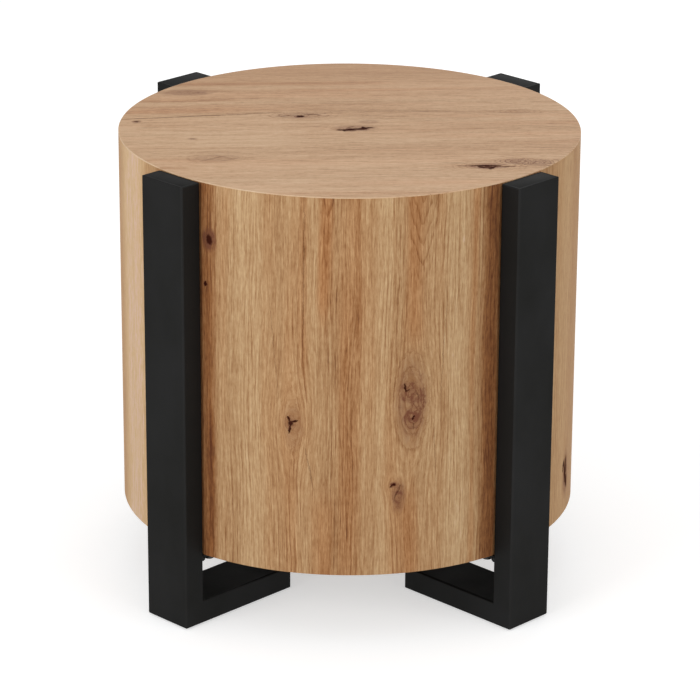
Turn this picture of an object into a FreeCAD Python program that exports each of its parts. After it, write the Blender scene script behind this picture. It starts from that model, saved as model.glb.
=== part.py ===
import FreeCAD, Part
import math
import os

# Round end table: a closed drum in wood decor held between four steel legs.
# Millimetres, +Z up, origin on the floor under the middle of the drum.
# The front of the table looks along -Y and the legs stand on the diagonals.

# Overall sizes
table_diameter = 490.0
table_height = 490.0
drum_underside_height = 79.0
leg_top_drop = 1.0

# Drum boards and laminate
laminate_thickness = 1.0
top_panel_thickness = 15.0
bottom_panel_thickness = 15.0
wall_thickness = 6.0
rebate_height = 6.0
rebate_clearance = 0.3
glue_line = 0.2

# Battens behind the joints of the wall, tenoned into both boards
batten_width = 60.0
batten_thickness = 18.0
tenon_width = 26.0
tenon_thickness = 8.0
tenon_length = 7.0
tenon_clearance = 0.2
tenon_end_clearance = 0.5

# Steel tube of the legs
tube_width = 60.0
tube_depth = 25.0
tube_wall = 1.5
tube_outer_radius = 2.0
cap_thickness = 2.0
cap_clearance = 0.1
leg_clearance = 0.3
foot_bar_end_radius = 117.0

# Tabs that carry the drum
tab_width = 60.0
tab_reach = 32.0
tab_thickness = 4.0
tab_corner_clip = 5.0
tab_weld_leg = 3.0
tab_bolt_inset = 17.0
tab_bolt_spacing = 42.0
tab_hole_clearance = 0.3

# Bolts and the square nuts that they turn into
bolt_diameter = 6.0
bolt_shank_length = 18.0
bolt_head_diameter = 10.0
bolt_head_height = 6.0
bolt_socket_across_flats = 5.0
bolt_socket_depth = 3.0
panel_hole_clearance = 0.5
nut_width = 10.0
nut_thickness = 5.0
nut_bore_clearance = 0.05
nut_side_clearance = 0.2
nut_top_clearance = 0.5

# Pads under the foot bars
pad_length = 24.0
pad_width = 48.0
pad_thickness = 1.5
pad_outer_inset = 32.0
pad_inner_inset = 28.0

# How far every cut runs past the piece that it cuts
overrun = 5.0

# Directions seen from above, as shares of a full turn from +X towards +Y
full_turn = 360.0
quarter_turn = full_turn / 4
leg_turn_shares = {"front_left": 5 / 8, "front_right": 7 / 8, "back_right": 1 / 8, "back_left": 3 / 8}
wall_turn_shares = {"front": 3 / 4, "right": 0, "back": 1 / 4, "left": 1 / 2}
socket_side_count = 6

# Radii and heights that follow from the sizes above
drum_radius = table_diameter / 2
core_radius = drum_radius - laminate_thickness - glue_line
wall_inner_radius = core_radius - wall_thickness
spigot_radius = wall_inner_radius - rebate_clearance
top_laminate_low = table_height - laminate_thickness
top_panel_high = top_laminate_low - glue_line
top_panel_low = top_panel_high - top_panel_thickness
bottom_panel_high = drum_underside_height + bottom_panel_thickness
leg_inner_radius = drum_radius + leg_clearance
leg_outer_radius = leg_inner_radius + tube_depth
leg_low = pad_thickness
leg_high = table_height - leg_top_drop
tab_low = drum_underside_height - tab_thickness
tab_bolt_radius = leg_inner_radius - tab_bolt_inset
nut_low = bottom_panel_high - nut_top_clearance - nut_thickness
batten_outer_radius = wall_inner_radius - glue_line
batten_inner_radius = batten_outer_radius - batten_thickness
tenon_radius_from_middle = batten_outer_radius - batten_thickness / 2

up = FreeCAD.Vector(0, 0, 1)
middle = FreeCAD.Vector(0, 0, 0)


def point(x, y, z=0):
    """A point in space."""
    return FreeCAD.Vector(x, y, z)


def turned(shape, turn_share):
    """A copy of a shape turned about the upright axis of the table by a share of a full turn."""
    return shape.rotated(middle, up, full_turn * turn_share)


def moved(shape, x, y, z):
    """A copy of a shape moved to another place."""
    return shape.translated(point(x, y, z))


def outline(corners):
    """A closed outline through corners given as (point, radius), each corner rounded to its radius."""
    rounded = []
    for i, (here, radius) in enumerate(corners):
        before = (corners[i - 1][0] - here).normalize()
        after = (corners[(i + 1) % len(corners)][0] - here).normalize()
        half_angle = before.getAngle(after) / 2
        tangent = radius / math.tan(half_angle)
        inwards = (before + after).normalize()
        nearest = here + inwards * (radius / math.sin(half_angle) - radius)
        rounded.append((here + before * tangent, nearest, here + after * tangent, radius))
    edges = []
    for i, (start, nearest, end, radius) in enumerate(rounded):
        if radius > 0:
            edges.append(Part.Arc(start, nearest, end).toShape())
        following = rounded[(i + 1) % len(rounded)][0]
        edges.append(Part.makeLine(end, following))
    return Part.Wire(edges)


def rectangle(depth, width, radius=0):
    """An outline centred on the origin, depth along X and width along Y, its corners rounded if asked."""
    x = depth / 2
    y = width / 2
    corners = [point(x, y), point(-x, y), point(-x, -y), point(x, -y)]
    return outline([(corner, radius) for corner in corners])


def revolved(profile):
    """A solid turned about the Z axis from (radius, height) points."""
    corners = [point(radius, 0, height) for radius, height in profile]
    wire = Part.makePolygon(corners + corners[:1])
    return Part.Face(wire).revolve(middle, up, full_turn)


def prism(outer, height, holes=()):
    """A solid raised from an outline in the XY plane, less the outlines of its holes."""
    solid = Part.Face(outer).extrude(up * height)
    for hole in holes:
        solid = solid.cut(Part.Face(hole).extrude(up * height))
    return solid


def round_hole(radius, x, y, low, high):
    """The round tool that cuts a hole between two heights."""
    return Part.makeCylinder(radius, high - low, point(x, y, low), up)


def wedge(corners):
    """A tool of triangular section in the XZ plane, wider than the tube."""
    half = tube_width / 2 + overrun
    lifted = [point(x, -half, z) for x, z in corners]
    face = Part.Face(Part.makePolygon(lifted + lifted[:1]))
    return face.extrude(point(0, half * 2, 0))


def at_legs(shape):
    """One copy of a shape for each leg, turned from +X to the leg's direction."""
    return [turned(shape, turn_share) for turn_share in leg_turn_shares.values()]


def bolt_places():
    """Both bolt places of a tab on the leg along +X."""
    return [(tab_bolt_radius, side * tab_bolt_spacing / 2) for side in (-1, 1)]


# The drum

def top_laminate():
    """The decor sheet of the top, out to the face of the drum."""
    return revolved([
        (0, top_laminate_low),
        (drum_radius, top_laminate_low),
        (drum_radius, table_height),
        (0, table_height),
    ])


def side_laminate():
    """The decor wrapped round the drum, from the underside to the sheet of the top."""
    inner = drum_radius - laminate_thickness
    return revolved([
        (inner, drum_underside_height),
        (drum_radius, drum_underside_height),
        (drum_radius, top_laminate_low),
        (inner, top_laminate_low),
    ])


def tenon_block(clearance, low, high):
    """A tenon of the batten along +X between two heights, larger by the clearance on its four sides."""
    section = rectangle(tenon_thickness + clearance * 2, tenon_width + clearance * 2)
    return moved(prism(section, high - low), tenon_radius_from_middle, 0, low)


def top_panel():
    """The upper board: its rim lies on the wall and its spigot fits inside the wall."""
    board = revolved([
        (0, top_panel_low),
        (spigot_radius, top_panel_low),
        (spigot_radius, top_panel_low + rebate_height),
        (core_radius, top_panel_low + rebate_height),
        (core_radius, top_panel_high),
        (0, top_panel_high),
    ])
    mortise_high = top_panel_low + tenon_length + tenon_end_clearance
    mortise = tenon_block(tenon_clearance, top_panel_low - overrun, mortise_high)
    return board.cut(at_legs(mortise))


def bottom_panel():
    """The lower board: the wall stands on its rim, and pockets under the battens hold the nuts."""
    board = revolved([
        (0, drum_underside_height),
        (core_radius, drum_underside_height),
        (core_radius, bottom_panel_high - rebate_height),
        (spigot_radius, bottom_panel_high - rebate_height),
        (spigot_radius, bottom_panel_high),
        (0, bottom_panel_high),
    ])
    mortise_low = bottom_panel_high - tenon_length - tenon_end_clearance
    tools = at_legs(tenon_block(tenon_clearance, mortise_low, bottom_panel_high + overrun))
    hole_radius = bolt_diameter / 2 + panel_hole_clearance
    pocket_width = nut_width + nut_side_clearance * 2
    pocket = prism(rectangle(pocket_width, pocket_width), bottom_panel_high + overrun - nut_low)
    for x, y in bolt_places():
        hole = round_hole(hole_radius, x, y, drum_underside_height - overrun, bottom_panel_high)
        tools.extend(at_legs(hole))
        tools.extend(at_legs(moved(pocket, x, y, nut_low)))
    return board.cut(tools)


def wall_panel(turn_share):
    """A quarter of the bent wall, standing between the rebates of the two boards."""
    low = bottom_panel_high - rebate_height
    high = top_panel_low + rebate_height
    half = math.radians(quarter_turn / 2)

    def on_circle(radius, share):
        return point(radius * math.cos(half * share), radius * math.sin(half * share))

    outer = [on_circle(core_radius, share) for share in (-1, 0, 1)]
    inner = [on_circle(wall_inner_radius, share) for share in (1, 0, -1)]
    section = Part.Wire([
        Part.Arc(*outer).toShape(),
        Part.makeLine(outer[-1], inner[0]),
        Part.Arc(*inner).toShape(),
        Part.makeLine(inner[-1], outer[0]),
    ])
    panel = moved(prism(section, high - low), 0, 0, low)
    return turned(panel, turn_share)


def batten():
    """The batten behind one joint of the wall, along +X: its back curved to the wall, a tenon at each end."""
    half = batten_width / 2
    side = math.sqrt(batten_outer_radius ** 2 - half ** 2)
    section = Part.Wire([
        Part.Arc(point(side, -half), point(batten_outer_radius, 0), point(side, half)).toShape(),
        Part.makeLine(point(side, half), point(batten_inner_radius, half)),
        Part.makeLine(point(batten_inner_radius, half), point(batten_inner_radius, -half)),
        Part.makeLine(point(batten_inner_radius, -half), point(side, -half)),
    ])
    wood = moved(prism(section, top_panel_low - bottom_panel_high), 0, 0, bottom_panel_high)
    tenons = tenon_block(0, bottom_panel_high - tenon_length, top_panel_low + tenon_length)
    return wood.fuse(tenons).removeSplitter()


# The legs, each modelled along +X

def tube(length):
    """A length of the leg tube standing on the origin, depth along X."""
    outer = rectangle(tube_depth, tube_width, tube_outer_radius)
    bore = rectangle(tube_depth - tube_wall * 2, tube_width - tube_wall * 2)
    return prism(outer, length, [bore])


def end_plate():
    """The plate that is set into a tube end and welded there, in the outline of the bore."""
    inset = (tube_wall + cap_clearance) * 2
    return prism(rectangle(tube_depth - inset, tube_width - inset), cap_thickness)


def laid_down(shape):
    """A shape that stood on the origin, laid along +X with its depth upright."""
    return shape.rotated(middle, point(0, 1, 0), quarter_turn)


def upright():
    """The upright tube, mitred at its foot to meet the foot bar."""
    raised = moved(tube(leg_high - leg_low), leg_inner_radius + tube_depth / 2, 0, leg_low)
    waste = wedge([
        (leg_outer_radius + overrun, leg_low - overrun),
        (leg_inner_radius - overrun, leg_low + tube_depth + overrun),
        (leg_inner_radius - overrun, leg_low - overrun),
    ])
    return raised.cut(waste)


def foot_bar():
    """The tube along the floor, from its inner end to the mitre."""
    laid = laid_down(tube(leg_outer_radius - foot_bar_end_radius))
    bar = moved(laid, foot_bar_end_radius, 0, leg_low + tube_depth / 2)
    waste = wedge([
        (leg_outer_radius + overrun, leg_low - overrun),
        (leg_outer_radius + overrun, leg_low + tube_depth + overrun),
        (leg_inner_radius - overrun, leg_low + tube_depth + overrun),
    ])
    return bar.cut(waste)


def upright_cap():
    """The plate in the top end of the upright, flush with it."""
    return moved(end_plate(), leg_inner_radius + tube_depth / 2, 0, leg_high - cap_thickness)


def bar_cap():
    """The plate in the inner end of the foot bar, flush with it."""
    return moved(laid_down(end_plate()), foot_bar_end_radius, 0, leg_low + tube_depth / 2)


def drum_tab():
    """The tab that carries the drum, drilled for two bolts, with the weld along its root."""
    half = tab_width / 2
    tip = leg_inner_radius - tab_reach
    corners = [
        point(leg_inner_radius, half),
        point(tip + tab_corner_clip, half),
        point(tip, half - tab_corner_clip),
        point(tip, tab_corner_clip - half),
        point(tip + tab_corner_clip, -half),
        point(leg_inner_radius, -half),
    ]
    plate = prism(Part.makePolygon(corners + corners[:1]), tab_thickness)
    weld_section = [
        point(leg_inner_radius, -half, tab_low),
        point(leg_inner_radius - tab_weld_leg, -half, tab_low),
        point(leg_inner_radius, -half, tab_low - tab_weld_leg),
    ]
    weld = Part.Face(Part.makePolygon(weld_section + weld_section[:1])).extrude(point(0, tab_width, 0))
    hole_radius = bolt_diameter / 2 + tab_hole_clearance
    high = drum_underside_height + overrun
    holes = [round_hole(hole_radius, x, y, tab_low - overrun, high) for x, y in bolt_places()]
    return moved(plate, 0, 0, tab_low).fuse(weld).removeSplitter().cut(holes)


# What fastens the legs to the drum, and what they stand on

def leg_bolts():
    """Socket cap screws up through the tabs and the lower board into the nuts."""
    head = bolt_head_diameter / 2
    shank = bolt_diameter / 2
    blank = revolved([
        (0, -bolt_head_height),
        (head, -bolt_head_height),
        (head, 0),
        (shank, 0),
        (shank, bolt_shank_length),
        (0, bolt_shank_length),
    ])
    socket_corner = bolt_socket_across_flats / 2 / math.cos(math.pi / socket_side_count)
    corners = []
    for i in range(socket_side_count + 1):
        angle = math.tau * i / socket_side_count
        corners.append(point(socket_corner * math.cos(angle), socket_corner * math.sin(angle)))
    socket = prism(Part.makePolygon(corners), bolt_socket_depth + overrun)
    bolt = blank.cut(moved(socket, 0, 0, -bolt_head_height - overrun))
    bolts = []
    for x, y in bolt_places():
        bolts.extend(at_legs(moved(bolt, x, y, tab_low)))
    return Part.makeCompound(bolts)


def square_nuts():
    """The nuts of the leg bolts, each on the floor of its pocket and kept in by the batten above."""
    bore = round_hole(bolt_diameter / 2 + nut_bore_clearance, 0, 0, -overrun, nut_thickness + overrun)
    nut = prism(rectangle(nut_width, nut_width), nut_thickness).cut(bore)
    nuts = []
    for x, y in bolt_places():
        nuts.extend(at_legs(moved(nut, x, y, nut_low)))
    return Part.makeCompound(nuts)


def foot_pads():
    """Two thin pads across the underside of every foot bar."""
    pad = prism(rectangle(pad_length, pad_width), pad_thickness)
    pads = []
    for x in (leg_outer_radius - pad_outer_inset, foot_bar_end_radius + pad_inner_inset):
        pads.extend(at_legs(moved(pad, x, 0, 0)))
    return Part.makeCompound(pads)


def save(node, shape):
    """Writes one piece to its STEP file."""
    shape.exportStep("parts/" + node + ".step")


def main():
    """Makes every piece of the table."""
    os.makedirs("parts", exist_ok=True)
    save("top_laminate", top_laminate())
    save("side_laminate", side_laminate())
    save("top_panel", top_panel())
    save("bottom_panel", bottom_panel())
    for side, turn_share in wall_turn_shares.items():
        save("wall_" + side, wall_panel(turn_share))
    leg_pieces = {
        "upright": upright(),
        "foot_bar": foot_bar(),
        "upright_cap": upright_cap(),
        "bar_cap": bar_cap(),
        "drum_tab": drum_tab(),
    }
    for leg, turn_share in leg_turn_shares.items():
        save("batten_" + leg, turned(batten(), turn_share))
        for piece, shape in leg_pieces.items():
            save(leg + "_" + piece, turned(shape, turn_share))
    save("leg_bolts", leg_bolts())
    save("square_nuts", square_nuts())
    save("foot_pads", foot_pads())


main()
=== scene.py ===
import math

import bmesh
import bpy
from mathutils import Matrix, Vector


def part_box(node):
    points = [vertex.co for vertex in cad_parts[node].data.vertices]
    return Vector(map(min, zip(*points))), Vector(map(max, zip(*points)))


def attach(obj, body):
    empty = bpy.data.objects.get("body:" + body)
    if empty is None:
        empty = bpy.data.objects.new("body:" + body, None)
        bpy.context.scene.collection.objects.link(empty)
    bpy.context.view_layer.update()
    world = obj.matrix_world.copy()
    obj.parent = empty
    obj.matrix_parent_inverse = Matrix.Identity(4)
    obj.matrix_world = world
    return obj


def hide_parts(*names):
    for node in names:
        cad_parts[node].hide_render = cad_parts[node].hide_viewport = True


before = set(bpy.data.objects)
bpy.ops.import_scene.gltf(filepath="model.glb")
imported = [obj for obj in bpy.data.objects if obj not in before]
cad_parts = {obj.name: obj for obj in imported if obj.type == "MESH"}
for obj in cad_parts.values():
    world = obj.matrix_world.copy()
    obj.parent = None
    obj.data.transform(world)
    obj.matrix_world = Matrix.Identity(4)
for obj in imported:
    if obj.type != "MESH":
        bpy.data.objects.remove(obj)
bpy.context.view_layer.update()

bl_info = {
    "name": "Round end table",
    "version": (1, 0, 0),
    "blender": (4, 5, 0),
    "location": "3D View > Sidebar > End Table",
    "description": "Dresses the round end table: oak drum, black tube legs, bolts, pads and studio",
    "category": "Object",
}

millimetre = 0.001
full_turn = math.tau
front_turn = -full_turn / 4

# Points nearer than this are one point, and points this near a height or radius lie on it
same_point = 0.002 * millimetre
same_level = 0.1 * millimetre

# Faces round the drum
round_steps = 256

leg_names = ("front_left", "front_right", "back_right", "back_left")


# Measures read from the frame

def corners_of(node):
    """The corner points of a CAD node."""
    return [vertex.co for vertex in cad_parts[node].data.vertices]


def span(points, direction):
    """The nearest and farthest that points go along a direction from the origin."""
    distances = [point.dot(direction) for point in points]
    return min(distances), max(distances)


def reach(node, direction):
    """The nearest and farthest that a CAD node goes along a direction from the origin."""
    return span(corners_of(node), direction)


def leg_turn(leg):
    """The direction of a leg from the middle of the drum, as an angle from +X."""
    low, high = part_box(leg + "_upright")
    middle = (low + high) / 2
    return math.atan2(middle.y, middle.x)


def towards(turn):
    """A level direction at an angle from +X."""
    return Vector((math.cos(turn), math.sin(turn), 0))


def leg_directions(leg):
    """The level directions outwards through a leg and sideways across it."""
    turn = leg_turn(leg)
    return towards(turn), towards(turn + full_turn / 4)


def points_at(leg, node):
    """The corner points of a CAD node that lie in a leg's quarter of the table."""
    outwards, sideways = leg_directions(leg)
    return [point for point in corners_of(node) if point.dot(outwards) > abs(point.dot(sideways))]


up = Vector((0, 0, 1))
sheet_low, table_high = reach("top_laminate", up)
drum_low, side_high = reach("side_laminate", up)
drum_radius = round(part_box("side_laminate")[1].x, 4)
side_inner_radius = drum_radius - (table_high - sheet_low)


# Colours

def from_screen(*colour):
    """A colour written in screen values of 0 to 255, as the linear values that shaders use."""
    shares = [part / 255 for part in colour]
    values = [
        share / 12.92 if share <= 0.04045 else ((share + 0.055) / 1.055) ** 2.4 for share in shares
    ]
    return (*values, 1.0)


def new_setting(kind, name, description, default, **limits):
    """A value that a user may change."""
    return kind(name=name, description=description, default=default, min=0.0, **limits)


def length_setting(name, description, length):
    """A length, from its name, description and default in millimetres."""
    kind, default = bpy.props.FloatProperty, length * millimetre
    return new_setting(kind, name, description, default, subtype="DISTANCE", unit="LENGTH")


def colour_setting(name, description, *colour):
    """A colour, from its name, description and default in screen values."""
    kind, default = bpy.props.FloatVectorProperty, from_screen(*colour)
    return new_setting(kind, name, description, default, size=4, max=1.0, subtype="COLOR")


def share_setting(*about):
    """A share from 0 to 1, from its name, description and default."""
    return new_setting(bpy.props.FloatProperty, *about, max=1.0, subtype="FACTOR")


def power_setting(*about):
    """The power of a lamp, from its name, description and default."""
    return new_setting(bpy.props.FloatProperty, *about, unit="POWER")


class DrumSettings(bpy.types.PropertyGroup):
    """The sheets of oak decor on the drum."""

    rim_softness: length_setting("Rim softness", "How far the rim of the top is rounded", 0.5)
    edge_softness: length_setting("Edge softness", "How far the lower edge is rounded", 0.4)
    side_dark: colour_setting("Side, dark", "Darkest grain of the side", 106, 70, 50)
    side_deep: colour_setting("Side, deep", "Darker bands of the side", 149, 107, 70)
    side_middle: colour_setting("Side, middle", "Middle tone of the side", 180, 142, 102)
    side_light: colour_setting("Side, light", "Palest grain of the side", 208, 176, 135)
    # The palest stop is reached mostly in the pale strip on the left of the side: a painted sheen
    # of the light from the left.
    side_pale_painted_sheen: colour_setting("Side, pale", "Pale strip of the side, a painted sheen", 214, 183, 164)
    top_dark: colour_setting("Top, dark", "Darkest grain of the top", 128, 91, 69)
    top_deep: colour_setting("Top, deep", "Darker bands of the top", 178, 139, 104)
    top_middle: colour_setting("Top, middle", "Middle tone of the top", 205, 168, 133)
    top_light: colour_setting("Top, light", "Palest grain of the top", 223, 191, 157)
    knot_halo: colour_setting("Knot halo", "Wood round a knot", 118, 74, 54)
    knot_core: colour_setting("Knot core", "Heart and cracks of a knot", 54, 20, 12)
    # The rim colour is the cut edge of the sheet, made paler as a painted highlight.
    rim_edge_and_highlight: colour_setting("Rim line", "Cut edge of the sheet at the rim, with a painted highlight", 222, 196, 164)


class LegSettings(bpy.types.PropertyGroup):
    """The steel of the legs and what holds them."""

    edge_radius: length_setting("Tube edge radius", "Rounding along the tube", 2.0)
    end_radius: length_setting("Tube end radius", "Rounding of the ground tube ends", 1.0)
    tab_softness: length_setting("Tab softness", "Rounding of the tab edges", 0.4)
    pad_corner: length_setting("Pad corner", "Radius of the pads' upright corners", 3.0)
    pad_softness: length_setting("Pad softness", "Rounding of the pads' level edges", 0.25)
    coat: colour_setting("Powder coat", "Colour of the coat", 42, 42, 42)
    coat_roughness: share_setting("Coat roughness", "How matt the coat is", 0.52)
    bolt: colour_setting("Bolt", "Black oxide of the bolts", 22, 21, 21)
    pad: colour_setting("Pad", "Foam of the foot pads", 46, 45, 44)


class StageSettings(bpy.types.PropertyGroup):
    """The floor, the lamps and the world."""

    floor_radius: length_setting("Floor radius", "Size of the round floor", 14000)
    floor_tone: share_setting("Floor tone", "How pale the floor is", 0.72)
    key_power: power_setting("Key lamp", "Power of the lamp on the left", 27.0)
    fill_power: power_setting("Fill lamp", "Power of the lamp on the right", 16.0)
    top_power: power_setting("Top lamp", "Power of the lamp overhead", 2.0)
    back_power: power_setting("Back lamp", "Power of the lamp behind", 9.0)
    world_light: share_setting("World light", "Even light from all round", 0.6)
    floor_glow: share_setting("Floor glow", "What makes the floor white to the camera", 0.52)


setting_groups = {
    "end_table_drum": DrumSettings, "end_table_legs": LegSettings, "end_table_stage": StageSettings,
}


# Shader nodes written as sums

class Value:
    """A shader socket that takes part in Python sums."""

    def __init__(self, finish, socket):
        self.math = finish.math
        self.socket = socket

    def __add__(self, other):
        return self.math("ADD", self, other)

    def __radd__(self, other):
        return self.math("ADD", other, self)

    def __sub__(self, other):
        return self.math("SUBTRACT", self, other)

    def __rsub__(self, other):
        return self.math("SUBTRACT", other, self)

    def __mul__(self, other):
        return self.math("MULTIPLY", self, other)

    def __rmul__(self, other):
        return self.math("MULTIPLY", other, self)

    def __truediv__(self, other):
        return self.math("DIVIDE", self, other)

    def __rtruediv__(self, other):
        return self.math("DIVIDE", other, self)

    def __abs__(self):
        return self.math("ABSOLUTE", self)


class Finish:
    """The nodes of a material or of the world, and the calls that add to them."""

    spacing = 180

    def __init__(self, owner):
        self.owner = owner
        owner.use_nodes = True
        self.tree = owner.node_tree
        self.tree.nodes.clear()

    def node(self, kind, settings=None, values=(), output=0):
        """Adds a shader node: its settings come first, then the values or links of its sockets."""
        made = self.tree.nodes.new("ShaderNode" + kind)
        made.location.x = len(self.tree.nodes) * self.spacing
        for name, setting in (settings or {}).items():
            if name == "stops":
                stops = made.color_ramp.elements
                while len(stops) < len(setting):
                    stops.new(1.0)
                for stop, (place, colour) in zip(stops, setting):
                    stop.position = place
                    stop.color = colour
            else:
                setattr(made, name, setting)
        for key, value in values.items() if isinstance(values, dict) else enumerate(values):
            if isinstance(value, Value):
                self.tree.links.new(value.socket, made.inputs[key])
            else:
                made.inputs[key].default_value = value
        return Value(self, made.outputs[output]) if made.outputs else None

    def math(self, operation, *terms):
        """One Math node on values and numbers."""
        return self.node("Math", {"operation": operation}, terms)

    def place(self):
        """Object coordinates in millimetres, as three values."""
        coordinates = self.node("TexCoord", output="Object")
        values = {0: coordinates, "Scale": 1 / millimetre}
        scaled = self.node("VectorMath", {"operation": "SCALE"}, values)
        return tuple(self.node("SeparateXYZ", values=(scaled,), output=i) for i in range(3))

    def noise(self, across, along, detail=2.0, roughness=0.5, depth=None):
        """Cloudy noise about 0, on two or three values already divided by the size of its spots."""
        flat = depth is None
        vector = self.node("CombineXYZ", values=(across, along, 0.0 if flat else depth))
        settings = {"noise_dimensions": "2D" if flat else "3D"}
        values = {"Vector": vector, "Scale": 1.0, "Detail": detail, "Roughness": roughness}
        return self.node("TexNoise", settings, values) - 0.5

    def cloud(self, place, size, detail, roughness):
        """Noise in space, its spots as large each way."""
        x, y, z = (value / size for value in place)
        return self.noise(x, y, detail, roughness, z)

    def cells(self, place, scale):
        """How far each point in space is from the nearest of many scattered centres."""
        vector = self.node("CombineXYZ", values=place)
        return self.node("TexVoronoi", values={"Vector": vector, "Scale": scale})

    def fade(self, value, start, end):
        """0 at start, 1 at end, with an eased change between them."""
        settings = {"interpolation_type": "SMOOTHSTEP"}
        return self.node("MapRange", settings, (value, start, end))

    def ramp(self, value, stops):
        """Colours along a value from 0 to 1."""
        return self.node("ValToRGB", {"stops": stops}, (value,))

    def shades(self, value, *stops):
        """Colours along a value from 0 to 1, each written as its place and its screen values."""
        return self.ramp(value, [(place, from_screen(*colour)) for place, *colour in stops])

    def mix(self, share, first, second, blend="MIX"):
        """Two colours mixed by a share."""
        settings = {"data_type": "RGBA", "blend_type": blend}
        return self.node("Mix", settings, {0: share, 6: first, 7: second}, output=2)

    def bump(self, height, distance, strength):
        """A surface normal from a height between 0 and 1, and what 1 stands for in millimetres."""
        values = {"Strength": strength, "Distance": distance * millimetre, "Height": height}
        return self.node("Bump", values=values)

    def close(self, colour, roughness, normal=None, metallic=0, specular=0.5, tint=(1, 1, 1, 1)):
        """Ends the material with a Principled shader."""
        values = {
            "Base Color": colour, "Roughness": roughness, "Metallic": metallic,
            "Specular IOR Level": specular, "Specular Tint": tint,
        }
        if normal:
            values["Normal"] = normal
        shader = self.node("BsdfPrincipled", values=values)
        self.node("OutputMaterial", values=(shader,))
        return self.owner


def new_finish(name):
    """The finish of a new material."""
    return Finish(bpy.data.materials.new(name))


# Oak decor: straight grain with knots, cracks and streaks, printed on a laminate sheet. The dark
# streaks beside the legs also hold painted shade, and the broad pale streak on the left of the side
# is a painted sheen.
# Across and along are millimetres across and along the grain.

side_knots = (
    # across, along, bow, stretch, halo radius and share, ring share, core radius and share
    (-152.9, 430, 7, 1.4, 11.5, 1, 0.3, 4.8, 0.95),
    (-158.2, 382.3, 3, 1.5, 4, 0.3, 0, 2.2, 1),
    (-58, 244, 18, 2.6, 13, 0.3, 0.3),
    (-60.8, 245.5, 6, 1.3, 9.5, 0.5, 1, 3, 0.95),
    (64, 270, 21, 2.8, 22, 0.46, 0.9),
    (62, 281, 7, 1.3, 16, 0.76, 0.9),
    (70, 270, 4, 1.7, 14, 0.76, 0.4),
    (66, 251.5, 8, 1.4, 14.5, 0.8, 1.4, 2, 0.95),
    (45.8, 179.1, 8, 0.9, 5.5, 0.8, 0.2, 2.8, 1),
    (51, 166, 6, 2.4, 9.5, 0.62, 0.5),
    (311, 124, 12, 2.6, 13, 0.6, 0.3, 3, 0.5),
)
side_cracks = (
    # across, along, length, width, lean from the grain in degrees, depth
    (-62.6, 249.4, 8, 2, -30, 1),
    (-56.6, 248, 9, 2.2, 62, 1),
    (-61.6, 240, 12, 2, 6, 1),
    (57, 285, 11, 2.6, -14, 1),
    (60, 282, 7, 2, 64, 0.7),
    (70, 276, 11, 1.2, -24, 0.5),
    (66, 242, 10, 1, 4, 0.5),
    (44.6, 178.6, 6.5, 2, 60, 0.9),
    (49.5, 170, 22, 1.3, 22, 0.55),
    (309, 128, 34, 6.5, 3, 1),
    (314, 114, 20, 5.5, -14, 1),
    (302, 136, 16, 4.5, 18, 1),
    (-41, 196, 60, 1, -11, 0.35),
    (-79, 330, 130, 0.8, -5, 0.22),
    (98, 318, 130, 0.8, 3, 0.3),
    (-47.4, 410, 180, 1.1, 0.5, 0.3),
    (90, 210, 90, 0.8, -3, 0.22),
)
side_streaks = (
    # across, half width, tone, redness, and the lowest and highest place along where it ends
    # Beside the front left leg: a red-brown streak of the print, made darker as painted shade where
    # the leg shades the drum.
    (-158, 18, -0.56, 0.7),
    (-152, 3.5, -0.35, 0.9, 90, 240),
    (-138, 10, 0.06, 0),
    (-105, 32, 0.14, -0.35),
    (-47.6, 6, -0.16, 0.3, 300, None),
    (-24, 12, -0.14, 0.75, 360, None),
    (-24, 20, -0.06, 0.5, None, 170),
    (-3, 18, -0.12, 0.1, 80, 400),
    (-6, 32, -0.12, 0.2),
    (7, 4, -0.18, 0.15, 330, None),
    (14, 6, 0.08, -0.1, 60, None),
    (34, 11, 0.14, -0.35, 60, None),
    (68, 17, -0.12, 0.75, 330, None),
    (62, 18, -0.16, 0.5, None, 170),
    (112, 22, 0.22, -0.5),
    (133, 6, -0.02, 0.5),
    (146, 8, -0.26, 0.2),
    # Beside the front right leg: a red-brown streak of the print, made darker as painted shade
    # where the leg shades the drum.
    (156, 13, -0.64, 0.6),
    (215, 16, -0.08, 0.7, 240, None),
    (250, 9, 0.12, -0.3, None, 300),
    (290, 30, 0.14, -0.1),
    (-226, 14, -0.1, 0.2),
    # Painted sheen: a broad, pale, less red streak on the left of the side, where the light from
    # the left falls.
    (-290, 56, 0.6, -0.2),
)
side_arches = (
    # across, height of the lowest tip, steepness, half width, strength
    (-22, 428, 4.2, 15, 0.2),
    (74, 380, 3.4, 22, 0.2),
    (205, 330, 3.6, 30, 0.15),
    (-205, 290, 3.2, 30, 0.15),
)

top_knots = (
    (36.3, -52.2, 8, 1.3, 9, 0.5, 0.8, 4.4, 1),
    (40, -54, 14, 2.4, 15, 0.22, 1.6),
    (-11, 0.5, 7, 1.2, 10, 0.7, 0, 5, 1),
    (-9, 13.7, 5, 1.1, 10, 0.6, 0, 4.6, 0.8),
    (-6, 6, 14, 2.2, 13, 0.4, 0.6),
    (-138, 140, 18, 1.9, 13, 0.5, 1.2),
    (-141, 141, 4, 1.3, 9, 0.8, 0, 5, 0.7),
    (14, -226.6, 5, 1.1, 6, 0.6, 0, 2.4, 0.7),
    (-47.6, -165, 4, 1.6, 4.5, 0.35, 0, 1.8, 0.4),
    (-114, -138, 16, 2, 17, 0.2, 0.5),
    (125, -178, 12, 2.4, 15, 0.42, 0.2),
    (58, 181, 14, 1.8, 12, 0.1, 0.7),
    (17, 20, 6, 1.6, 9, 0.3, 0.2),
    (-121, 170, 12, 1.5, 12, 0.3, 2.6),
    (-126, 194, 13, 1.5, 13, 0.28, 2.6),
)
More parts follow.
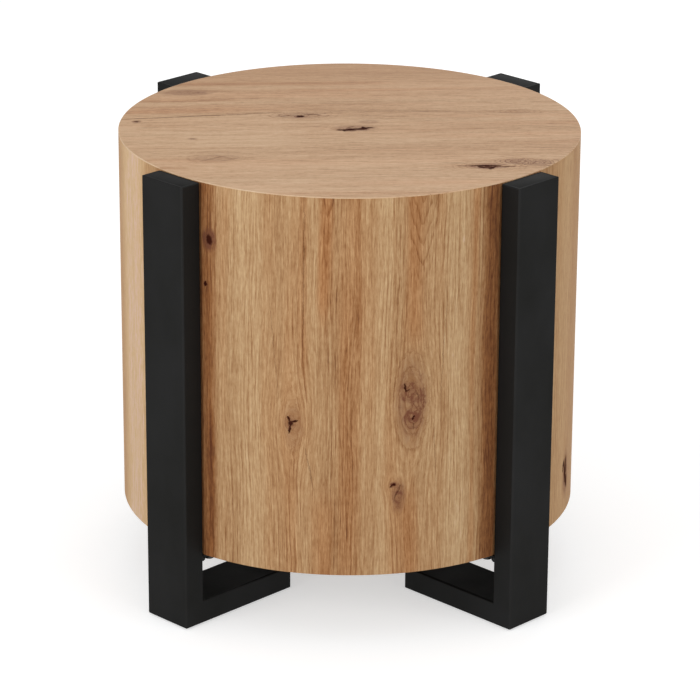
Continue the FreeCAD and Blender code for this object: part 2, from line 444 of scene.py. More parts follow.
top_cracks = (
    (-9.5, 6, 46, 3.4, 13, 1),
    (-14, -5, 9, 4, 66, 0.9),
    (-5, 15, 12, 4, -70, 1),
    (-2, 1, 12, 3, 40, 0.45),
    (-13, -3, 26, 3.6, -8, 1),
    (-7, 16, 22, 3.6, 30, 1),
    (-141.5, 134.5, 15, 3.4, -40, 1),
    (-142.5, 146, 14, 3.2, 38, 1),
    (-136.5, 139, 38, 3.2, -4, 1),
    (44, -41, 20, 3, -10, 0.55),
    (38, -68, 24, 2.4, 8, 0.45),
    (34.5, -170, 190, 2.6, 6.5, 0.45),
    (49, -100, 60, 2.2, 3, 0.3),
    (-8, -214, 26, 2, 6, 0.25),
    (-116, -142, 34, 2.6, 38, 0.26),
    (-110, -130, 28, 2.4, -34, 0.22),
    (-119, -124, 20, 2.2, 20, 0.2),
    (-146, 144, 9, 3.4, 62, 0.8),
    (-140, 160, 22, 2.4, 8, 0.7),
    (-138, 118, 22, 2.4, -6, 0.6),
    (-128, 108, 30, 2.2, -5, 0.3),
)
top_streaks = (
    (100, 9, -0.2, 0.3, None, -120),
    (215, 70, -0.2, 0.1),
    (165, 12, -0.18, 0.4, None, 40),
    (140, 10, -0.1, 0.3, -60, None),
    (74, 10, 0.08, -0.1, -120, None),
    (62, 12, -0.1, 0.25, None, -130),
    (6, 12, 0.1, 0, None, -90),
    (-30, 110, 0.12, -0.1, None, -50),
    (-40, 16, 0.06, 0.15),
    (-75, 6, -0.12, 0.3, None, 90),
    (-140, 34, 0.12, 0, None, 100),
    (-205, 44, 0.2, 0.1),
    (-142, 3, -0.35, 0.8, -210, -180),
    (52, 7, -0.16, 0.3, 120, None),
)
top_arches = (
    (-125, 60, 5, 24, 0.14),
)

# Noise in the grain. The scaled layers grow with it: broad bands, bands, fibres, threads, hue
# and hairs. The fixed layers are the curl of the growth lines, where they show, mottling and pores.
scaled_layers = (
    # how wide, how long, offset along, detail, roughness
    (34, 700, 0, 2, 0.55),
    (7, 260, 31.7, 2, 0.55),
    (2.3, 60, 57.3, 3, 0.6),
    (1.1, 17, 11.9, 3, 0.65),
    (26, 600, 143, 2, 0.5),
    (3.4, 190, 19.3, 2, 0.5),
)
fixed_layers = (
    (9, 150, 5.1, 2, 0.6),
    (30, 300, 71, 1, 0.5),
    (3.4, 7.5, 83.1, 3, 0.6),
    (0.7, 7, 7.7, 1, 0.5),
)


def highest(f, values):
    """The largest of a list of values."""
    result = values[0]
    for value in values[1:]:
        result = f.math("MAXIMUM", result, value)
    return result


def line_of(f, growth):
    """A line at each whole number of a growing value, sharp on one side and soft on the other."""
    phase = f.math("FRACT", growth)
    return f.fade(phase, 0.45, 0.06) * f.fade(phase, 0.0, 0.06)


def knots_and_cracks(f, across, along, knots, cracks):
    """How the knots pull the grain, and their halos, cores and rings. Cracks join the cores."""
    wobble = f.noise(across / 6, along / 9, 4, 0.72)
    sway = f.noise(across / 8 + 40, along / 8, 3, 0.65)
    fine_place = (across + wobble * 4.5, along + sway * 5)
    wide_place = (across + wobble * 7, along + sway * 9)
    pulls, halos, cores, rings = [], [], [], []
    for at_across, at_along, bow, stretch, halo, halo_share, ring_share, *core in knots:
        place = fine_place if halo < 13 else wide_place
        aside = place[0] - at_across
        ahead = (place[1] - at_along) / stretch
        distance = aside * aside + ahead * ahead
        nearness = bow ** 2 / (distance + bow ** 2)
        pulls.append(aside * nearness * nearness)
        halos.append(f.fade(distance, halo ** 2, (halo * 0.25) ** 2) * halo_share)
        if core:
            radius, share = core
            cores.append(f.fade(distance, radius ** 2, (radius * 0.45) ** 2) * share)
        if ring_share > 0:
            turns = f.math("SQRT", distance) / max(2.6, halo * 0.28) + wobble * 0.9 + sway * 0.6
            rings.append(line_of(f, turns) * f.fade(nearness, 0.26, 0.6) * ring_share)
    for at_across, at_along, length, width, lean, depth in cracks:
        aside = fine_place[0] - at_across
        ahead = fine_place[1] - at_along
        cosine, sine = math.cos(math.radians(lean)), math.sin(math.radians(lean))
        along_crack = abs(ahead * cosine + aside * sine)
        beside_crack = abs(aside * cosine - ahead * sine)
        tapered = beside_crack + along_crack * (width / length)
        inside = f.fade(tapered, width, width * 0.35)
        cores.append(inside * f.fade(along_crack, length * 0.55, length * 0.36) * depth)
    return sum(pulls), highest(f, halos), highest(f, cores), sum(rings)


def tinted_streaks(f, grain, along, streaks):
    """The tone and the redness that the broad streaks add."""
    tones, reds = [], []
    for at_across, half_width, tone, redness, *ends in streaks:
        low, high = ends or (None, None)
        mask = f.fade(abs(grain - at_across), half_width, half_width * 0.15)
        if low is not None:
            mask = mask * f.fade(along, low - 30, low + 30)
        if high is not None:
            mask = mask * f.fade(along, high + 30, high - 30)
        tones.append(mask * tone)
        reds.append(mask * redness)
    return sum(tones), sum(reds)


def growth_arches(f, grain, along, curl, arches):
    """Growth rings cut at a slant: nested arches that open upwards."""
    lines = []
    for at_across, tip, steepness, half_width, strength in arches:
        aside = grain - at_across
        climb = along - tip
        level = (climb - f.math("SQRT", aside * aside + 12) * steepness) / (6.6 * steepness) + curl
        near = f.fade(abs(aside), half_width, half_width * 0.45) * f.fade(level, -0.4, 0.8)
        lines.append(line_of(f, level) * near * strength)
    return sum(lines)


def grain_noises(f, grain, along, layers, scale):
    """The noise of each layer of the grain."""
    return [
        f.noise(grain / (wide * scale), along / (long * scale) + offset, detail, roughness)
        for wide, long, offset, detail, roughness in layers
    ]


def oak_decor(f, across, along, printed_across, printed_along, marks, scale, contrast, even):
    """The tone, redness, halo, dark core, rings, mottling and relief of the oak print.

    The grain runs on across and along. The marks are placed on printed_across and printed_along,
    which may repeat the print. The scale multiplies the size of the grain, and even fades it."""
    knots, cracks, streaks, arches = marks
    waver = f.noise(across / (120 * scale), along / (430 * scale)) * (14 * scale)
    ripple = f.noise(across / (24 * scale), along / (110 * scale)) * (4 * scale)
    pull, halo, core, ring = knots_and_cracks(f, printed_across, printed_along, knots, cracks)
    shift = waver + ripple - pull
    grain = across + shift
    printed_grain = printed_across + shift
    broad, band, fibre, thread, hue, hairs = grain_noises(f, grain, along, scaled_layers, scale)
    curl, patches, mottle, pores = grain_noises(f, grain, along, fixed_layers, 1)
    streak_tone, streak_red = tinted_streaks(f, printed_grain, printed_along, streaks)

    shown = f.fade(patches, -0.02, 0.16) * 0.2 + 0.04
    line = line_of(f, grain / (4.4 * scale) + curl * 1.4) * shown
    line = line + growth_arches(f, printed_grain, printed_along, curl, arches)
    pore = f.fade(pores, 0.1, 0.3)
    hair = f.fade(abs(hairs), 0.05, 0.0) * f.fade(broad, -0.08, 0.12)
    fine = fibre * 0.62 + thread * 0.68 + mottle * 0.28 - pore * 0.14 - hair * 0.18 - line
    fine = fine * contrast * (0.4 + even * 0.6)
    tone = 0.61 + (broad * 0.32 + band * 0.17) * even + fine + streak_tone * 0.6 - ring * 0.16
    redness = 0.35 + hue * 1.4 * even + streak_red
    relief = 0.5 + fibre * 0.5 + thread * 0.5 - pore * 0.5 - line * 0.4 - core * 0.6
    return tone, redness, halo, core, ring, mottle + fibre, relief


def oak_sheet(name, print_values, stops, red_tint, drum, rim=None):
    """The laminate sheet with its oak print."""
    f = new_finish(name)
    tone, redness, halo, core, ring, mottled, relief = print_values(f)
    colour = f.ramp(tone, stops)
    colour = f.mix(f.fade(redness, 0.0, 1.4) * 0.85, colour, red_tint, "MULTIPLY")
    colour = f.mix(halo * (1 + ring * 0.4 + mottled * 2.2), colour, drum.knot_halo)
    colour = f.mix(core, colour, drum.knot_core)
    if rim:
        colour = f.mix(rim(f), colour, drum.rim_edge_and_highlight)
    roughness = 0.5 + relief * 0.1 + core * 0.5
    return f.close(colour, roughness, f.bump(relief, 0.08, 0.6), specular=0.04)


def side_print(f):
    """The oak print wrapped round the drum, with its seam behind the back right leg."""
    x, y, z = f.place()
    seam_turn = leg_turn("back_right") - front_turn
    middle_turn = seam_turn - math.pi
    cosine, sine = math.cos(middle_turn), math.sin(middle_turn)
    turn = f.math("ARCTAN2", x * cosine + y * sine, x * sine - y * cosine)
    radius = drum_radius / millimetre
    across = (turn + middle_turn) * radius
    behind = f.math("GREATER_THAN", y, 0.0)
    sideways = x * (1 - behind * 2)
    printed_turn = f.math("ARCTAN2", sideways, abs(y))
    sheet_ends = (table_high + drum_low) / millimetre
    printed_along = z + behind * (sheet_ends - z * 2)
    even = 1 - f.fade(abs(printed_turn), 0.9, 1.15) * 0.6
    marks = (side_knots, side_cracks, side_streaks, side_arches)
    return oak_decor(f, across, z, printed_turn * radius, printed_along, marks, 1, 0.92, even)


def top_print(f):
    """The oak print of the top, its grain almost along X."""
    x, y, z = f.place()
    lean = 0.045
    across = y - x * lean
    marks = (leaned(top_knots, lean), leaned(top_cracks, lean), top_streaks, top_arches)
    even = 1.35 - f.fade(y, 90.0, 210.0) * 0.85
    return oak_decor(f, across + 700, (x + 300) * 1.4, across, x, marks, 1.1, 0.72, even)


def leaned(marks, lean):
    """Knots and cracks of the top, moved to the leaning grain's own measure across."""
    return tuple((mark[0] - mark[1] * lean, *mark[1:]) for mark in marks)


def rim_edge_and_highlight(f):
    """Where the cut edge of the top sheet shows at the rim, with a painted highlight that grows
    towards the left, where the light falls.
    """
    x, y, z = f.place()
    radius = drum_radius / millimetre
    from_middle = f.math("SQRT", x * x + y * y)
    edge = f.fade(from_middle, radius - 0.9, radius - 0.2)
    patchy = f.fade(f.noise(x / 60, y / 60, 2, 0.6), -0.16, 0.1)
    # Painted highlight: the line is stronger towards the left, where the light falls from.
    left = f.fade(x, 120.0, -120.0)
    return edge * (0.25 + patchy * 0.55) * (0.35 + left * 0.65)


# Finishes of the steel, the pads and the boards

def powder_coat(legs):
    """Satin black powder coat with the fine skin that it has, made once for all the legs."""
    name = "satin_black_coat"
    if name in bpy.data.materials:
        return bpy.data.materials[name]
    f = new_finish(name)
    x, y, z = f.place()
    skin = f.cloud((x, y, z), 0.9, 3, 0.55)
    cloud = f.noise(x / 60, y / 60, 3, 0.55, z / 90)
    speck = f.fade(f.cloud((x, y, z), 0.35, 1, 0.5), 0.14, 0.26)
    shade = f.fade(cloud + speck * 0.25, -0.25, 0.35)
    colour = f.mix(shade, legs.coat, from_screen(37, 37, 36))
    roughness = legs.coat_roughness + cloud * 0.16 + skin * 0.1
    normal = f.bump(skin + 0.5, 0.06, 0.5)
    return f.close(colour, roughness, normal, metallic=1, tint=(0.5, 0.5, 0.5, 1))


def black_oxide(legs):
    """Oiled black oxide with brighter spots where it is rubbed."""
    f = new_finish("black_oxide_steel")
    cloud = f.cloud(f.place(), 2.2, 4, 0.65)
    rubbed = f.fade(cloud, 0.1, 0.28)
    colour = f.mix(rubbed, legs.bolt, from_screen(74, 72, 70))
    normal = f.bump(cloud + 0.5, 0.04, 0.4)
    return f.close(colour, 0.42 - rubbed * 0.12, normal, metallic=rubbed * 0.7)


def pad_foam(legs):
    """Closed-cell foam with open pores on its cut faces."""
    f = new_finish("pad_foam")
    place = f.place()
    cells = f.cells(place, 1.6)
    cloud = f.cloud(place, 9, 3, 0.6)
    colour = f.mix(f.fade(cells + cloud, 0.1, 0.9), from_screen(30, 30, 30), legs.pad)
    return f.close(colour, 0.9 - cells * 0.08, f.bump(cells, 0.2, 0.6), specular=0.3)


def fibreboard():
    """Raw fibreboard: short fibres, darker specks and a slow change of tone."""
    f = new_finish("panel_board")
    x, y, z = f.place()
    lean = f.cloud((x, y, z), 30, 2, 0.5) * 14
    hair = f.noise((x + lean) / 0.5, (y - lean) / 3.4, 3, 0.65, z / 0.5)
    cross_hair = f.noise((x - lean) / 3.1, (y + lean) / 0.5, 3, 0.65, z / 0.5)
    cloud = f.cloud((x, y, z), 55, 3, 0.5)
    speck = f.fade(f.cloud((x, y, z), 1.1, 1, 0.5), 0.24, 0.34)
    tone = 0.5 + hair * 0.7 + cross_hair * 0.7 + cloud * 0.5
    colour = f.shades(tone, (0.15, 104, 78, 52), (0.5, 132, 104, 73), (0.85, 158, 130, 96))
    colour = f.mix(speck * 0.7, colour, from_screen(78, 54, 34))
    return f.close(colour, 0.78 + hair * 0.2, f.bump(tone, 0.1, 0.5), specular=0.25)


def bending_ply():
    """Bending plywood: open upright grain on its faces and thin plies on its edges."""
    f = new_finish("bending_ply")
    x, y, z = f.place()
    from_middle = f.math("SQRT", x * x + y * y)
    turn = f.math("ARCTAN2", x, 0 - y) * 240
    ply = f.math("PINGPONG", from_middle, 1.0)
    grain = f.noise(turn / 1.4, z / 70, 3, 0.6)
    cloud = f.noise(turn / 40, z / 200)
    tone = 0.5 + grain * 1.1 + cloud * 0.6 - ply * 0.12
    colour = f.shades(tone, (0.1, 150, 112, 72), (0.5, 190, 158, 116), (0.9, 214, 188, 148))
    return f.close(colour, 0.74 + grain * 0.2, f.bump(tone, 0.1, 0.5), specular=0.25)


def softwood():
    """Planed softwood with upright growth lines."""
    f = new_finish("batten_pine")
    x, y, z = f.place()
    waver = f.noise(x / 40, y / 40, 2, 0.5, z / 260) * 16
    phase = f.math("FRACT", (x + y * 0.6 + waver) / 4.2)
    late = f.fade(phase, 0.1, 0.9)
    hair = f.noise(x / 0.7, y / 0.7, 3, 0.6, z / 40)
    tone = 0.75 - late * 0.42 + hair * 0.8
    colour = f.shades(tone, (0.1, 176, 126, 72), (0.5, 208, 170, 116), (0.9, 228, 200, 152))
    return f.close(colour, 0.62 + hair * 0.2, f.bump(tone, 0.1, 0.4), specular=0.3)


def zinc_plate():
    """Bright zinc with soft spangles and fine tumbling marks."""
    f = new_finish("zinc_plated_steel")
    x, y, z = f.place()
    spangle = f.cells((x, y, z), 0.5)
    marks = f.noise(x / 0.4, y / 2.5, 3, 0.6, z / 0.4)
    share = f.fade(spangle + marks, 0.0, 0.9)
    colour = f.mix(share, from_screen(172, 176, 180), from_screen(206, 209, 210))
    return f.close(colour, 0.34 + marks * 0.3, metallic=1)


# Shaping

def add_object(name, data):
    """Puts a mesh, lamp or camera into the scene as an object."""
    added = bpy.data.objects.new(name, data)
    bpy.context.scene.collection.objects.link(added)
    return added


def mesh_object(name, shape, material):
    """Puts a shape into the scene with its material."""
    mesh = bpy.data.meshes.new(name)
    shape.to_mesh(mesh)
    shape.free()
    mesh.materials.append(material)
    return add_object(name, mesh)


def merge_points(shape):
    """Joins the points of a shape that meet, and then turns all its faces outwards."""
    bmesh.ops.remove_doubles(shape, verts=shape.verts, dist=same_point)
    bmesh.ops.recalc_face_normals(shape, faces=shape.faces)


def piece_of(name, shape, material, nodes=()):
    """Makes a piece that rides on the table and stands for the CAD nodes."""
    merge_points(shape)
    for face in shape.faces:
        face.smooth = True
    piece = mesh_object(name, shape, material)
    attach(piece, "root")
    if nodes:
        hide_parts(*nodes)
    return piece


def mark_sharp(shape, degrees=50):
    """Marks the edges that turn by more than an angle, so that shading breaks there."""
    for edge in shape.edges:
        if len(edge.link_faces) == 2 and edge.calc_face_angle(0.0) > math.radians(degrees):
            edge.smooth = False


def even_shading(piece):
    """Keeps flat faces flat beside their rounded edges."""
    weighted = piece.modifiers.new("even_shading", "WEIGHTED_NORMAL")
    weighted.keep_sharp = True


def soften(piece, width, segments, by_weight=False):
    """Rounds the edges of a piece, those with a weight or those that turn sharply."""
    rounding = piece.modifiers.new("soft_edges", "BEVEL")
    rounding.width = width
    rounding.segments = segments
    rounding.limit_method = "WEIGHT" if by_weight else "ANGLE"
    rounding.angle_limit = math.radians(40)
    rounding.harden_normals = True


def at_height(edge, height):
    """Tells whether an edge lies level at a height."""
    return all(abs(vertex.co.z - height) < same_level for vertex in edge.verts)


def round_edges(shape, edges, offset, segments):
    """Rounds edges of a shape."""
    bmesh.ops.bevel(
        shape, geom=edges, offset=offset, segments=segments,
        profile=0.5, affect="EDGES", material=-1,
    )


def raise_faces(shape, faces, step):
    """Extrudes faces by a step."""
    made = bmesh.ops.extrude_face_region(shape, geom=faces)["geom"]
    corners = [item for item in made if isinstance(item, bmesh.types.BMVert)]
    bmesh.ops.translate(shape, verts=corners, vec=step)


def spin_outline(shape, outline, middle, steps):
    """Spins an outline of radii and heights about the upright line through a place."""
    section = [shape.verts.new(middle + Vector((radius, 0, height))) for radius, height in outline]
    edges = [shape.edges.new(pair) for pair in zip(section, section[1:])]
    bmesh.ops.spin(
        shape, geom=section + edges, cent=middle, axis=up,
        angle=full_turn, steps=steps, use_merge=True,
    )


def face_towards(shape, direction):
    """The face that looks most along a direction and lies farthest that way."""
    return max(shape.faces, key=lambda face: (
        round(face.normal.dot(direction), 3), face.calc_center_median().dot(direction)
    ))


def turned(shape, turn):
    """Turns a whole shape about the upright axis of the table."""
    bmesh.ops.rotate(shape, verts=shape.verts, cent=(0, 0, 0), matrix=Matrix.Rotation(turn, 3, "Z"))


class TablePiece:
    """What the operators of the table share."""

    bl_options = {"REGISTER", "UNDO"}


class END_TABLE_OT_top_sheet(TablePiece, bpy.types.Operator):
    """Adds the round sheet of oak decor on the top of the drum"""

    bl_idname = "end_table.top_sheet"
    bl_label = "Top Sheet"

    def execute(self, context):
        drum = context.scene.end_table_drum
        shape = bmesh.new()
        bmesh.ops.create_circle(
            shape, cap_ends=True, segments=round_steps, radius=drum_radius,
            matrix=Matrix.Translation((0, 0, sheet_low)),
        )
        raise_faces(shape, list(shape.faces), (0, 0, table_high - sheet_low))
        rim = [edge for edge in shape.edges if at_height(edge, table_high)]
        round_edges(shape, rim, drum.rim_softness, 4)
        mark_sharp(shape)
        stops = (
            (0.05, drum.top_dark), (0.36, drum.top_deep),
            (0.6, drum.top_middle), (0.92, drum.top_light),
        )
        tint = from_screen(252, 235, 226)
        material = oak_sheet("oak_decor_top", top_print, stops, tint, drum, rim_edge_and_highlight)
        piece = piece_of("top_sheet", shape, material, ["top_laminate"])
        even_shading(piece)
        return {"FINISHED"}


class END_TABLE_OT_side_sheet(TablePiece, bpy.types.Operator):
    """Adds the sheet of oak decor wrapped round the drum"""

    bl_idname = "end_table.side_sheet"
    bl_label = "Side Sheet"

    def execute(self, context):
        drum = context.scene.end_table_drum
        shape = bmesh.new()
        outline = (
            (side_inner_radius, drum_low), (drum_radius, drum_low),
            (drum_radius, side_high), (side_inner_radius, side_high), (side_inner_radius, drum_low),
        )
        spin_outline(shape, outline, Vector(), round_steps)
        merge_points(shape)
        foot = [
            edge for edge in shape.edges if at_height(edge, drum_low)
            and all(vertex.co.xy.length > drum_radius - same_level for vertex in edge.verts)
        ]
        round_edges(shape, foot, drum.edge_softness, 3)
        mark_sharp(shape)
        stops = (
            (0.02, drum.side_dark), (0.3, drum.side_deep),
            (0.58, drum.side_middle), (0.9, drum.side_light), (1.0, drum.side_pale_painted_sheen),
        )
        tint = from_screen(250, 222, 200)
        material = oak_sheet("oak_decor_side", side_print, stops, tint, drum)
        piece = piece_of("side_sheet", shape, material, ["side_laminate"])
        even_shading(piece)
        return {"FINISHED"}


class END_TABLE_OT_leg_frames(TablePiece, bpy.types.Operator):
    """Adds the four legs: upright and foot bar mitred together, ends closed and ground flush"""

    bl_idname = "end_table.leg_frames"
    bl_label = "Leg Frames"

    def execute(self, context):
        legs = context.scene.end_table_legs
        coat = powder_coat(legs)
        end_share = legs.end_radius / legs.edge_radius
        corner_degrees = 60
        for leg in leg_names:
            outwards, sideways = leg_directions(leg)
            inner, outer = reach(leg + "_upright", outwards)
            half_width = reach(leg + "_upright", sideways)[1]
            low, high = reach(leg + "_upright", up)
            bar_end = reach(leg + "_foot_bar", outwards)[0]
            bar_high = reach(leg + "_foot_bar", up)[1]
            shape = bmesh.new()
            outline = [
                shape.verts.new((radius, -half_width, height)) for radius, height in (
                    (inner, high), (outer, high), (outer, low),
                    (bar_end, low), (bar_end, bar_high), (inner, bar_high),
                )
            ]
            raise_faces(shape, [shape.faces.new(outline)], (0, half_width * 2, 0))
            bmesh.ops.recalc_face_normals(shape, faces=shape.faces)
            self.close_end(shape, up)
            self.close_end(shape, Vector((-1, 0, 0)))
            weights = shape.edges.layers.float.new("bevel_weight_edge")
            for edge in shape.edges:
                if edge.calc_face_angle_signed(0.0) < math.radians(corner_degrees):
                    continue
                heights = [vertex.co.z for vertex in edge.verts]
                radii = [vertex.co.x for vertex in edge.verts]
                at_end = min(heights) > high - millimetre or max(radii) < bar_end + millimetre
                edge[weights] = end_share if at_end else 1.0
            turned(shape, leg_turn(leg))
            nodes = [leg + part for part in ("_upright", "_foot_bar", "_upright_cap", "_bar_cap")]
            piece = piece_of(leg + "_frame", shape, coat, nodes)
            soften(piece, legs.edge_radius, 5, by_weight=True)
        return {"FINISHED"}

    def close_end(self, shape, direction):
        """Leaves the faint outline of the end plate that is welded into a tube end."""
        tube_wall = 1.5 * millimetre
        groove = 0.35 * millimetre
        depth = 0.09 * millimetre
        end = face_towards(shape, direction)
        for inset, rise in ((tube_wall + millimetre, 0.0), (groove, -depth), (groove, depth)):
            bmesh.ops.inset_region(
                shape, faces=[end], thickness=inset, depth=rise, use_even_offset=True
            )


class END_TABLE_OT_drum_tabs(TablePiece, bpy.types.Operator):
    """Adds the tabs that carry the drum, with the weld beads at their roots"""

    bl_idname = "end_table.drum_tabs"
    bl_label = "Drum Tabs"

    def execute(self, context):
        legs = context.scene.end_table_legs
        coat = powder_coat(legs)
        for leg in leg_names:
            node = leg + "_drum_tab"
            shape = bmesh.new()
            shape.from_mesh(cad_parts[node].data)
            bmesh.ops.remove_doubles(shape, verts=shape.verts, dist=same_point)
            bmesh.ops.dissolve_limit(
                shape, angle_limit=math.radians(1), verts=shape.verts, edges=shape.edges
            )
            piece = piece_of(node + "_plate", shape, coat, [node])
            soften(piece, legs.tab_softness, 2)
            self.weld(leg, coat)
        return {"FINISHED"}

    def weld(self, leg, coat):
        """A bead of overlapping drops along the root of a tab."""
        drop_step = 3.6 * millimetre
        drop_radius = 3.3 * millimetre
        sunk = 0.2 * millimetre
        bare_ends = 6 * millimetre
        tab_thickness = 4 * millimetre
        outwards, sideways = leg_directions(leg)
        root = reach(leg + "_upright", outwards)[0] - sunk
        seam_height = reach(leg + "_drum_tab", up)[1] - tab_thickness + sunk
        seam_length = reach(leg + "_upright", sideways)[1] * 2 - bare_ends
        drops = int(seam_length / drop_step)
        squash = Matrix.Diagonal((1.0, 1.35, 1.0, 1.0))
        shape = bmesh.new()
        for i in range(drops + 1):
            place = Matrix.Translation((root, (i - drops / 2) * drop_step, seam_height))
            tilt = Matrix.Rotation(math.radians(8 if i % 2 else -6), 4, "Z")
            bmesh.ops.create_uvsphere(
                shape, u_segments=14, v_segments=10, radius=drop_radius,
                matrix=place @ tilt @ squash,
            )
        turned(shape, leg_turn(leg))
        piece_of(leg + "_tab_weld", shape, coat)


class END_TABLE_OT_leg_bolts(TablePiece, bpy.types.Operator):
    """Adds the eight socket cap screws that hold the legs to the drum"""

    bl_idname = "end_table.leg_bolts"
    bl_label = "Leg Bolts"

    def execute(self, context):
        shape = bmesh.new()
        for leg in leg_names:
            for place in self.places(leg):
                self.add_bolt(shape, place)
        mark_sharp(shape, 30)
        material = black_oxide(context.scene.end_table_legs)
        piece = piece_of("socket_bolts", shape, material, ["leg_bolts"])
        even_shading(piece)
        return {"FINISHED"}

    def places(self, leg):
        """The middle of each bolt of a leg, from the corners of the bolts' own solids."""
        outwards, sideways = leg_directions(leg)
        mine = points_at(leg, "leg_bolts")
        found = []
        for side in (-1, 1):
            bolt = [point for point in mine if point.dot(sideways) * side > 0]
            out, aside = (way * sum(span(bolt, way)) / 2 for way in (outwards, sideways))
            found.append(out + aside)
        return found

    def add_bolt(self, shape, place):
        """One bolt, spun from its outline: socket, chamfered and knurled head, shank."""
        low = reach("leg_bolts", up)[0]
        sides = 48
        outline = (
            # radius and height above the bottom of the head, in millimetres
            (2.4, 3.0), (2.5, 2.9), (2.5, 0.3), (3.15, 0.0), (4.45, 0.0), (4.85, 0.15), (5.0, 0.6),
            (5.0, 0.9), (5.0, 4.9), (4.9, 5.3), (4.8, 6.0), (3.0, 6.0), (3.0, 23.2), (2.4, 24.0),
        )
        outline = [(radius * millimetre, low + height * millimetre) for radius, height in outline]
        spin_outline(shape, outline, place, sides)
        for vertex in shape.verts:
            offset = (vertex.co - place).to_2d()
            radius = offset.length / millimetre
            height = (vertex.co.z - low) / millimetre
            turn = math.atan2(offset.y, offset.x)
            in_socket = radius < 2.6 and height < 3.1
            on_knurl = 4.95 < radius < 5.05 and 0.7 < height < 5.0
            if in_socket:
                offset /= math.cos((turn % (full_turn / 6)) - full_turn / 12)
            elif on_knurl and round(turn / full_turn * sides) % 2:
                offset *= 0.975
            vertex.co.xy = place.xy + offset
        rims = [edge for edge in shape.edges if edge.is_boundary]
        bmesh.ops.holes_fill(shape, edges=rims, sides=sides)


class END_TABLE_OT_foot_pads(TablePiece, bpy.types.Operator):
    """Adds the eight thin pads under the foot bars"""

    bl_idname = "end_table.foot_pads"
    bl_label = "Foot Pads"

    def execute(self, context):
        legs = context.scene.end_table_legs
        pad_low, pad_high = reach("foot_pads", up)
        shape = bmesh.new()
        for leg in leg_names:
            outwards, sideways = leg_directions(leg)
            mine = points_at(leg, "foot_pads")
            bar_end = reach(leg + "_foot_bar", outwards)[0]
            middle = (bar_end + reach(leg + "_upright", outwards)[1]) / 2
            for beyond in (False, True):
                pad = [point for point in mine if (point.dot(outwards) > middle) == beyond]
                near, far = span(pad, outwards)
                centre = Matrix.Translation(outwards * (far + near) / 2 + up * pad_low)
                size = Matrix.Diagonal(((far - near) / 2, span(pad, sideways)[1], 1, 1))
                corners = bmesh.ops.create_grid(
                    shape, x_segments=1, y_segments=1, size=1.0,
                    matrix=centre @ Matrix.Rotation(leg_turn(leg), 4, "Z") @ size,
                )["verts"]
                face = [one for one in shape.faces if set(one.verts) == set(corners)]
                raise_faces(shape, face, up * (pad_high - pad_low))
        upright = [
            edge for edge in shape.edges
            if not at_height(edge, pad_low) and not at_height(edge, pad_high)
        ]
        round_edges(shape, upright, legs.pad_corner, 4)
        mark_sharp(shape)
        piece = piece_of("foam_pads", shape, pad_foam(legs), ["foot_pads"])
        soften(piece, legs.pad_softness, 2)
        return {"FINISHED"}


class END_TABLE_OT_drum_core(TablePiece, bpy.types.Operator):
    """Finishes the boards, bent walls, battens and nuts that the drum is built from"""

    bl_idname = "end_table.drum_core"
    bl_label = "Drum Core"

    def execute(self, context):
        finishes = (
            (fibreboard(), ("top_panel", "bottom_panel")),
            (bending_ply(), ("wall_front", "wall_right", "wall_back", "wall_left")),
            (softwood(), tuple("batten_" + leg for leg in leg_names)),
            (zinc_plate(), ("square_nuts",)),
        )
        for material, nodes in finishes:
            for node in nodes:
                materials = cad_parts[node].data.materials
                materials.clear()
                materials.append(material)
        return {"FINISHED"}


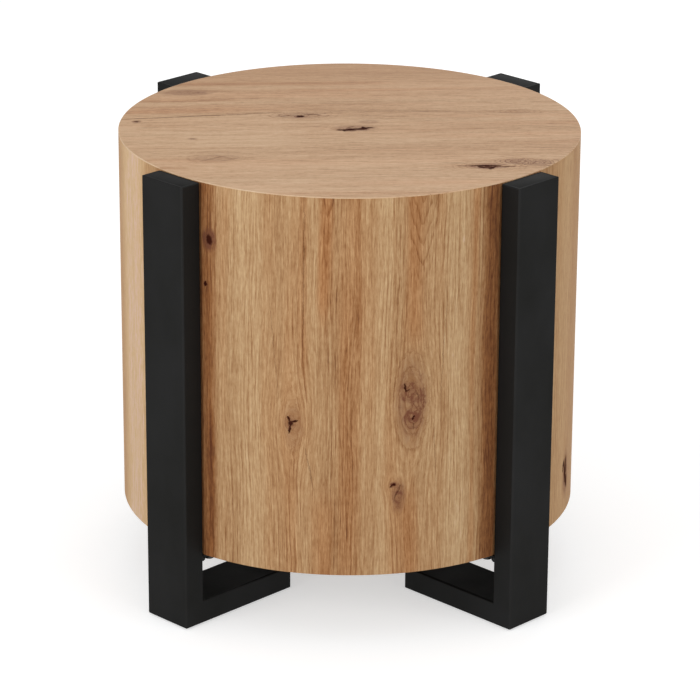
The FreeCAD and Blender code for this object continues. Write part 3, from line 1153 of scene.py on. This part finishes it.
class END_TABLE_OT_stage(TablePiece, bpy.types.Operator):
    """Adds the pale floor, the soft studio light and the camera"""

    bl_idname = "end_table.stage"
    bl_label = "Stage"

    def execute(self, context):
        stage = context.scene.end_table_stage
        self.add_floor(stage)
        self.add_world(context, stage)
        self.add_lamps(stage)
        self.add_camera(context)
        context.scene.view_settings.view_transform = "Standard"
        return {"FINISHED"}

    def seen_directly(self, f):
        """1 for rays from the camera, and for those that show the stage in gloss or glass."""
        rays = ("Is Camera Ray", "Is Glossy Ray", "Is Transmission Ray")
        return highest(f, [f.node("LightPath", output=ray) for ray in rays])

    def add_floor(self, stage):
        """The round floor, which keeps the shadow and doesn't show from below."""
        shape = bmesh.new()
        bmesh.ops.create_circle(shape, cap_ends=True, segments=96, radius=stage.floor_radius)
        f = new_finish("pale_floor")
        cloth = f.node("BsdfDiffuse", values={"Color": (*[stage.floor_tone] * 3, 1)})
        glow = f.node("Emission", values={"Color": (1, 1, 1, 1), "Strength": stage.floor_glow})
        bright = f.node("AddShader", values=(cloth, glow))
        lit = f.node("MixShader", values=(self.seen_directly(f), cloth, bright))
        clear = f.node("BsdfTransparent")
        from_below = f.node("NewGeometry", output="Backfacing")
        shown = f.node("MixShader", values=(from_below, lit, clear))
        f.node("OutputMaterial", values=(shown,))
        mesh_object("floor", shape, f.owner)

    def add_world(self, context, stage):
        """Even light from all round, white where the camera sees it."""
        f = Finish(bpy.data.worlds.new("studio"))
        context.scene.world = f.owner
        soft = f.node("Background", values=((1, 1, 1, 1), stage.world_light))
        white = f.node("Background", values=((1, 1, 1, 1), 1.0))
        shown = f.node("MixShader", values=(self.seen_directly(f), soft, white))
        f.node("OutputWorld", values=(shown,))

    def add_lamps(self, stage):
        """Four round lamps that look at the table."""
        target = Vector((0, 0, table_high * 0.55))
        lamps = (
            # name, place, size, power
            ("key_lamp", (-1.9, -1.9, 1.1), 1.6, stage.key_power),
            ("fill_lamp", (2.0, -1.8, 1.0), 1.8, stage.fill_power),
            ("top_lamp", (0.0, -0.6, 2.4), 1.8, stage.top_power),
            ("back_lamp", (0.5, 2.2, 1.4), 1.8, stage.back_power),
        )
        for name, place, size, power in lamps:
            light = bpy.data.lights.new(name, "AREA")
            light.shape = "DISK"
            light.size = size
            light.energy = power
            lamp = add_object(name, light)
            lamp.location = place
            lamp.rotation_euler = (target - Vector(place)).to_track_quat("-Z", "Y").to_euler()

    def add_camera(self, context):
        """The camera that sees the table as the photograph does. Its angles are in radians."""
        camera = bpy.data.cameras.new("camera")
        camera.sensor_width = 36.0
        camera.lens = 182.06
        place = (-0.0243, -3.6, 1.5786)
        tilt, turn, roll = 0.35671, 0.00724, 0.00599
        ahead = Vector((math.sin(turn), math.cos(turn), 0))
        forward = ahead * math.cos(tilt) - up * math.sin(tilt)
        right = Vector((math.cos(turn), -math.sin(turn), 0))
        above = right.cross(forward)
        level_right = right * math.cos(roll) + above * math.sin(roll)
        level_above = above * math.cos(roll) - right * math.sin(roll)
        axes = Matrix((level_right, level_above, -forward)).transposed().to_4x4()
        context.scene.camera = add_object("camera", camera)
        context.scene.camera.matrix_world = Matrix.Translation(place) @ axes


operators = (
    END_TABLE_OT_stage,
    END_TABLE_OT_top_sheet,
    END_TABLE_OT_side_sheet,
    END_TABLE_OT_leg_frames,
    END_TABLE_OT_drum_tabs,
    END_TABLE_OT_leg_bolts,
    END_TABLE_OT_foot_pads,
    END_TABLE_OT_drum_core,
)


class VIEW3D_PT_end_table(bpy.types.Panel):
    """Lists the pieces of the table and their settings"""

    bl_idname = "VIEW3D_PT_end_table"
    bl_label = "Round End Table"
    bl_space_type = "VIEW_3D"
    bl_region_type = "UI"
    bl_category = "End Table"

    def draw(self, context):
        layout = self.layout
        for operator in operators:
            layout.operator(operator.bl_idname)
        for name, group in setting_groups.items():
            box = layout.box()
            for setting in group.__annotations__:
                box.prop(getattr(context.scene, name), setting)


classes = (*setting_groups.values(), *operators, VIEW3D_PT_end_table)


def register():
    """Adds the classes and the settings of the scene."""
    for one in classes:
        bpy.utils.register_class(one)
    for name, group in setting_groups.items():
        setattr(bpy.types.Scene, name, bpy.props.PointerProperty(type=group))


def unregister():
    """Takes the settings and the classes away again."""
    for name in setting_groups:
        delattr(bpy.types.Scene, name)
    for one in reversed(classes):
        bpy.utils.unregister_class(one)


def main():
    register()
    for operator in operators:
        name = operator.bl_idname.removeprefix("end_table.")
        getattr(bpy.ops.end_table, name)()


if __name__ == "__main__":
    main()
